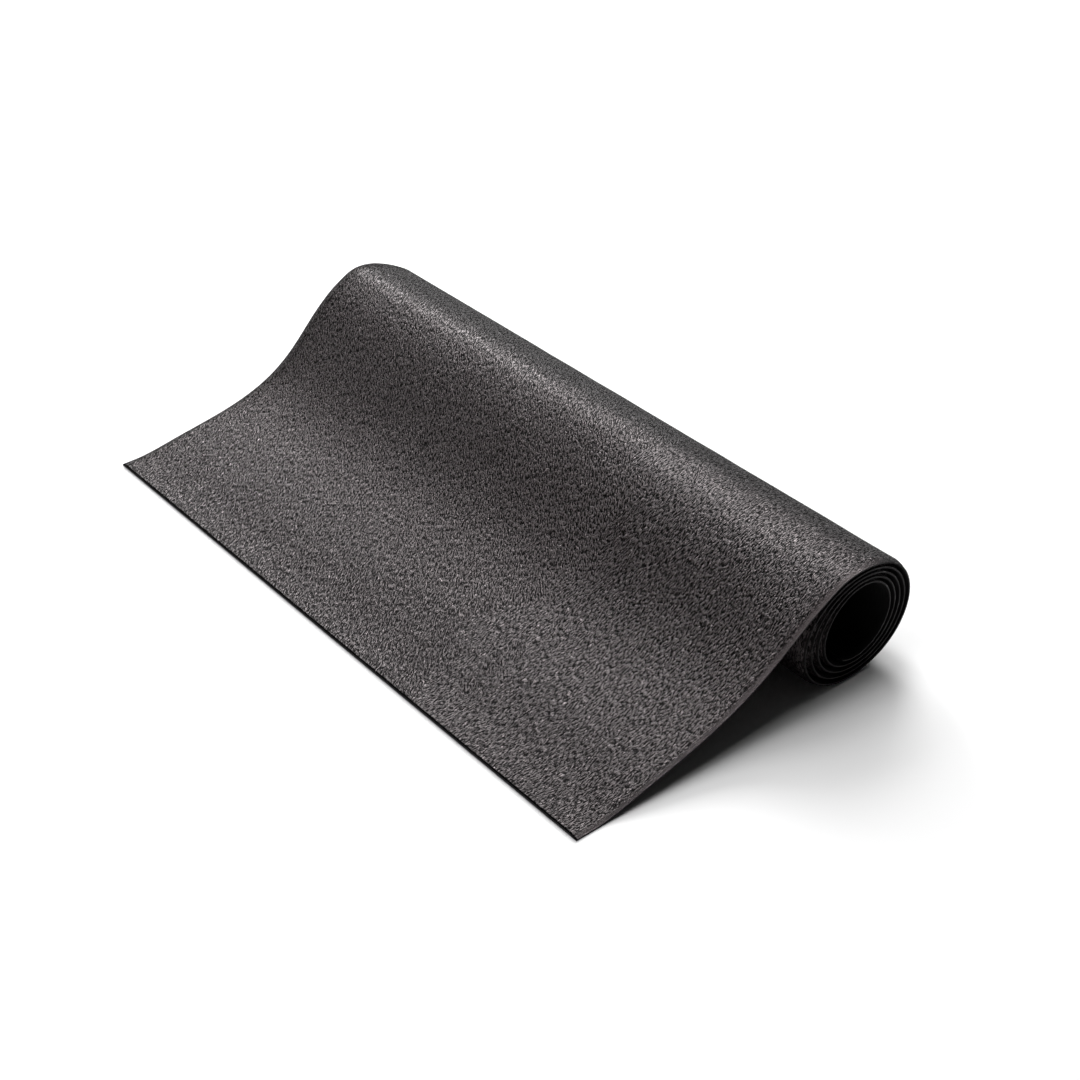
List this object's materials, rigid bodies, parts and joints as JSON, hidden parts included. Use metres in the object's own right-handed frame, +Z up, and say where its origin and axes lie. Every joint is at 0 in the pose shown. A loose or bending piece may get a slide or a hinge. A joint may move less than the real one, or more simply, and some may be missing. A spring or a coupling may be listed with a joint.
{
  "type": "anti fatigue mat",
  "caption": "Thin cushioned floor mat for standing on, partly rolled into a coil with its pebble-grained side out and its loose end lying on the floor.",
  "frame": {"origin": "middle of the footprint, on the floor", "axes": "+X along the coil, the loose end points to -Y, +Z up"},
  "size_m": [0.914, 0.4856, 0.1593],
  "materials": {
    "embossed_skin": "satin pebble-grained vinyl skin, smooth and slightly glossy on the pressed edges",
    "foam_cushion": "matt closed-cell foam with a smooth, faintly streaked underside"
  },
  "bodies": {
    "coil": {"coil_skin": "embossed_skin", "coil_foam": "foam_cushion"},
    "flap": {"flap_skin": "embossed_skin", "flap_foam": "foam_cushion"}
  },
  "joints": [
    {"name": "flap_lift", "type": "hinge", "parent": "coil", "child": "flap", "pos_m": [0, 0.0572, 0.1085], "axis": [-1, 0, 0], "range_deg": [0, 40]}
  ]
}
